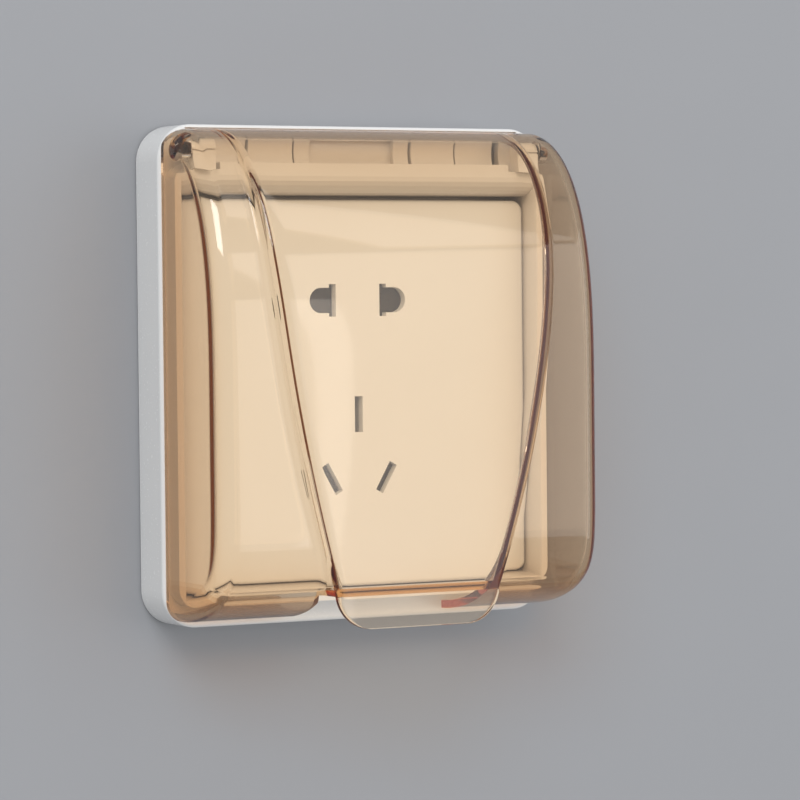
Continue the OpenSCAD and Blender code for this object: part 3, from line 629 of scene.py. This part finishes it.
def amber_material(finish):
    """Clear amber plastic: a refracting surface over a wall that takes up blue and green with
    depth, so the thick edges turn deep orange. The rim attribute adds painted shade, a deeper
    amber on rims, shelf, side walls and pivot bosses. Shadow and diffuse rays pass straight
    through, and so does light that has been bent many times inside an edge."""
    material = bpy.data.materials.new("Clear amber plastic")
    material.use_nodes = True
    tree = material.node_tree
    nodes, links = tree.nodes, tree.links
    shader = nodes["Principled BSDF"]
    fill(shader, {"Base Color": (1, 1, 1, 1), "Transmission Weight": 1.0,
                  "IOR": PLASTIC_IOR})
    made = worked(tree, CLEAR_TONE, 0.015, change=0.02, cloud=0.02, cloud_scale=40, grain=300)
    # Painted shade: the rim attribute mixes the deeper amber into the base colour where light
    # would cross the plastic edge-on
    rim = nodes.new("ShaderNodeAttribute")
    rim.attribute_name = "rim"
    edge_shade = nodes.new("ShaderNodeMix")
    edge_shade.data_type = "RGBA"
    links.new(rim.outputs["Fac"], edge_shade.inputs["Factor"])
    links.new(made.outputs["Colour"], edge_shade.inputs["A"])
    edge_shade.inputs["B"].default_value = (*finish.amber_shade_paint, 1)
    links.new(edge_shade.outputs["Result"], shader.inputs["Base Color"])
    path = nodes.new("ShaderNodeLightPath").outputs
    passing = maths(tree, "MAXIMUM", path["Is Shadow Ray"], path["Is Diffuse Ray"])
    lost = maths(tree, "GREATER_THAN", path["Ray Depth"], MOST_BENDS)
    seen = mix_shaders(tree, passing, shader.outputs[0], transparent(tree, STRAIGHT_TONE))
    seen = mix_shaders(tree, lost, seen, transparent(tree, EDGE_TONE))
    output = nodes["Material Output"]
    links.new(seen, output.inputs["Surface"])
    depth = nodes.new("ShaderNodeVolumeAbsorption")
    fill(depth, {"Color": (*finish.amber, 1), "Density": finish.amber_density})
    links.new(depth.outputs[0], output.inputs["Volume"])
    return material


# Operators

BRASS = (0.60, 0.40, 0.14)
ZINC = (0.52, 0.53, 0.55)


class SOCKETCOVER_OT_lid(bpy.types.Operator):
    """Build the clear lid with its raised panel, finger lip and pivot ears"""

    bl_idname = "socketcover.lid"
    bl_label = "Build lid"

    def execute(self, context):
        sizes = settings("cover_lid")
        points, faces, painted_shade_share = lid_mesh(sizes)
        material = amber_material(settings("cover_finish"))
        lid = mesh_object("lid_shell", points, faces, rim=painted_shade_share)
        paint(lid, material)
        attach(lid, "lid")
        pieces = [lid]
        x, radius = ear_profile(sizes)
        centre = (sizes.pivot_depth, sizes.pivot_height)
        for side, name in ((-1, "lid_ear_left"), (1, "lid_ear_right")):
            points, faces = revolve_x(side * x, radius, centre)
            if side < 0:
                faces = faces[:, ::-1]
            # Painted shade: the pivot ears take the deeper amber in full
            ear = mesh_object(name, points, faces, rim=np.ones(len(faces)))
            paint(ear, material)
            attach(ear, "lid")
            pieces.append(ear)
        for piece in pieces:
            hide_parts("lid")
        return {"FINISHED"}


class SOCKETCOVER_OT_frame(bpy.types.Operator):
    """Give the base frame and its wall gasket their finish"""

    bl_idname = "socketcover.frame"
    bl_label = "Finish frame"

    def execute(self, context):
        finish = settings("cover_finish")
        paint(NODES["base_frame"], surface(
            "Glossy white plastic", finish.frame_white, 0.22, change=0.08, cloud=0.03,
            coat=0.25, bump=0.04))
        paint(NODES["wall_gasket"], surface(
            "Gasket foam", finish.foam_black, 0.85, change=0.1, cloud=0.4, grain=2600,
            bump=0.8, specular=0.2, cloud_scale=500))
        return {"FINISHED"}


class SOCKETCOVER_OT_insert(bpy.types.Operator):
    """Give the socket insert's plate, housing, shutters and metal their finish"""

    bl_idname = "socketcover.insert"
    bl_label = "Finish insert"

    def execute(self, context):
        finish = settings("cover_finish")
        paint(NODES["face_plate"], surface(
            "Satin white plastic", finish.plate_white, 0.38, change=0.08, cloud=0.02,
            bump=0.06, grain=2200))
        housing = surface("Plain pale plastic", finish.housing_grey, 0.5, cloud=0.05)
        for name in ("rear_housing", "shutter_carrier"):
            paint(NODES[name], housing)
        # Partly painted shade: the shutters' near-black colour also stands in for the shade
        # inside the pin holes
        shutter = surface("Shutter plastic with painted hole shade", finish.shutter_grey_hole_shade, 0.5, cloud=0.08)
        for name in ("two_pin_shutter", "three_pin_shutter"):
            paint(NODES[name], shutter)
        brass = surface("Pressed brass", BRASS, 0.28, change=0.14, cloud=0.15,
                        metallic=1.0, cloud_scale=160)
        for name in ("line_contact", "neutral_contact", "earth_contact", "line_terminal",
                     "neutral_terminal", "earth_terminal"):
            paint(NODES[name], brass)
        steel = surface("Zinc plated steel", ZINC, 0.3, change=0.16, cloud=0.12,
                        metallic=1.0, cloud_scale=220)
        for name in ("socket_bracket", "terminal_screws", "fixing_screws", "housing_screws",
                     "two_pin_spring", "three_pin_spring"):
            paint(NODES[name], steel)
        return {"FINISHED"}


def area_light(name, place, target, size, power, colour):
    """A soft rectangular lamp at a place, facing a target."""
    light = bpy.data.lights.new(name, "AREA")
    light.shape = "RECTANGLE"
    light.size, light.size_y = size
    light.energy = power
    light.color = colour
    obj = bpy.data.objects.new(name, light)
    obj.location = place
    obj.rotation_euler = (Vector(target) - Vector(place)).to_track_quat("-Z", "Y").to_euler()
    bpy.context.scene.collection.objects.link(obj)
    return obj


WHITE_LIGHT = (1.0, 1.0, 1.0)
SKY_LIGHT = (0.97, 0.985, 1.0)
SIDE_LIGHT = (0.97, 0.98, 1.0)
AIR_LIGHT = (0.96, 0.985, 1.0)
SEEN_GREY = (0.50, 0.50, 0.52)

# The wall's distance behind the cover's back, and half its width
WALL_GAP = 0.0004
WALL_HALF = 2.0

# The camera's turn, rise and roll in degrees, its lens, and where it looks from how far
CAMERA_ANGLES = (-28.78, 1.63, -0.59)
CAMERA_LENS = 163.27
CAMERA_TARGET = (0.01722, 0, -0.00218)
CAMERA_DISTANCE = 0.82839


class SOCKETCOVER_OT_stage(bpy.types.Operator):
    """Set up the wall, the soft light and the camera"""

    bl_idname = "socketcover.stage"
    bl_label = "Set up stage"

    def execute(self, context):
        stage = settings("cover_stage")
        scene = context.scene
        self.add_wall(stage)
        self.add_world(scene, stage)
        area_light("Key light", (-0.55, -1.0, 0.75), (0, 0, 0), (0.7, 0.5),
                   stage.key_power, SKY_LIGHT)
        area_light("Fill light", (0.9, -0.9, 0.1), (0, 0, 0), (0.9, 0.9),
                   stage.fill_power, SIDE_LIGHT)
        area_light("Strip light", (0.62, -0.95, 0.95), (0, 0, 0.03), (0.13, 0.8),
                   stage.strip_power, WHITE_LIGHT)
        area_light("Low strip light", (0.425, -0.95, -0.05), (0, 0, 0), (0.075, 0.5),
                   stage.strip_power / 3, WHITE_LIGHT)
        self.add_camera(scene)
        scene.view_settings.view_transform = "Standard"
        return {"FINISHED"}

    def add_wall(self, stage):
        """A plain wall just behind the cover; it can't be seen from behind."""
        y, half = WALL_GAP, WALL_HALF
        mesh = bpy.data.meshes.new("backdrop_wall")
        mesh.from_pydata([(-half, y, -half), (half, y, -half), (half, y, half),
                          (-half, y, half)], [], [(0, 1, 2, 3)])
        wall = bpy.data.objects.new("backdrop_wall", mesh)
        bpy.context.scene.collection.objects.link(wall)
        material = surface("Painted wall", stage.wall_grey, 0.85, change=0.08, cloud=0.03,
                           grain=900, bump=0.12, specular=0.2, cloud_scale=30)
        tree = material.node_tree
        side = tree.nodes.new("ShaderNodeNewGeometry")
        mixed = mix_shaders(tree, side.outputs["Backfacing"],
                            tree.nodes["Principled BSDF"].outputs[0],
                            transparent(tree, WHITE_LIGHT))
        tree.links.new(mixed, tree.nodes["Material Output"].inputs["Surface"])
        paint(wall, material)

    def add_world(self, scene, stage):
        """Soft light all round, stronger from above, shown as plain grey to the camera, in
        reflections and in glass."""
        world = bpy.data.worlds.new("Soft room")
        scene.world = world
        world.use_nodes = True
        tree = world.node_tree
        nodes, links = tree.nodes, tree.links
        air = nodes["Background"]
        air.inputs["Color"].default_value = (*AIR_LIGHT, 1)
        place = nodes.new("ShaderNodeTexCoord")
        split = nodes.new("ShaderNodeSeparateXYZ")
        links.new(place.outputs["Generated"], split.inputs[0])
        rise = nodes.new("ShaderNodeMapRange")
        fill(rise, {"From Min": -1.0, "To Min": stage.air * 0.75, "To Max": stage.air * 1.35})
        links.new(split.outputs["Z"], rise.inputs["Value"])
        links.new(rise.outputs[0], air.inputs["Strength"])
        seen = nodes.new("ShaderNodeBackground")
        fill(seen, {"Color": (*SEEN_GREY, 1), "Strength": 1.0})
        path = nodes.new("ShaderNodeLightPath").outputs
        direct = maths(tree, "MAXIMUM", path["Is Camera Ray"], path["Is Glossy Ray"])
        direct = maths(tree, "MAXIMUM", direct, path["Is Transmission Ray"])
        mixed = mix_shaders(tree, direct, air.outputs[0], seen.outputs[0])
        links.new(mixed, nodes["World Output"].inputs["Surface"])

    def add_camera(self, scene):
        """The photograph's view: from the left of straight on and slightly above."""
        turn, rise, roll = (math.radians(v) for v in CAMERA_ANGLES)
        back = Vector((math.sin(turn) * math.cos(rise), -math.cos(turn) * math.cos(rise),
                       math.sin(rise)))
        right = Vector((math.cos(turn), math.sin(turn), 0))
        up = back.cross(right)
        across = right * math.cos(roll) + up * math.sin(roll)
        over = -right * math.sin(roll) + up * math.cos(roll)
        camera = bpy.data.objects.new("Camera", bpy.data.cameras.new("Camera"))
        camera.data.sensor_width = 36
        camera.data.lens = CAMERA_LENS
        camera.data.clip_start = 0.01
        place = Vector(CAMERA_TARGET) + back * CAMERA_DISTANCE
        camera.matrix_world = Matrix.Translation(place) @ Matrix(
            (across, over, back)).transposed().to_4x4()
        scene.collection.objects.link(camera)
        scene.camera = camera


class SOCKETCOVER_PT_panel(bpy.types.Panel):
    """Sidebar panel of the cover"""

    bl_label = "Socket Cover"
    bl_idname = "SOCKETCOVER_PT_panel"
    bl_space_type = "VIEW_3D"
    bl_region_type = "UI"
    bl_category = "Socket Cover"

    def draw(self, context):
        for operator in OPERATORS:
            self.layout.operator(operator.bl_idname)
        for group in GROUPS:
            data = getattr(context.scene, group)
            box = self.layout.box()
            for name in data.bl_rna.properties.keys():
                if name not in ("rna_type", "name"):
                    box.prop(data, name)


GROUPS = {"cover_lid": LidSizes, "cover_finish": Finishes, "cover_stage": StageSettings}
OPERATORS = (SOCKETCOVER_OT_frame, SOCKETCOVER_OT_insert, SOCKETCOVER_OT_lid,
             SOCKETCOVER_OT_stage)
CLASSES = (LidSizes, Finishes, StageSettings, *OPERATORS, SOCKETCOVER_PT_panel)


def register():
    """Register the classes and put their settings on the scene."""
    for cls in CLASSES:
        bpy.utils.register_class(cls)
    for name, group in GROUPS.items():
        setattr(bpy.types.Scene, name, bpy.props.PointerProperty(type=group))


def unregister():
    """Take the settings and the classes away again."""
    for name in GROUPS:
        delattr(bpy.types.Scene, name)
    for cls in reversed(CLASSES):
        bpy.utils.unregister_class(cls)


def main():
    """Build every piece in order."""
    register()
    bpy.ops.socketcover.frame()
    bpy.ops.socketcover.insert()
    bpy.ops.socketcover.lid()
    bpy.ops.socketcover.stage()


if __name__ == "__main__":
    main()
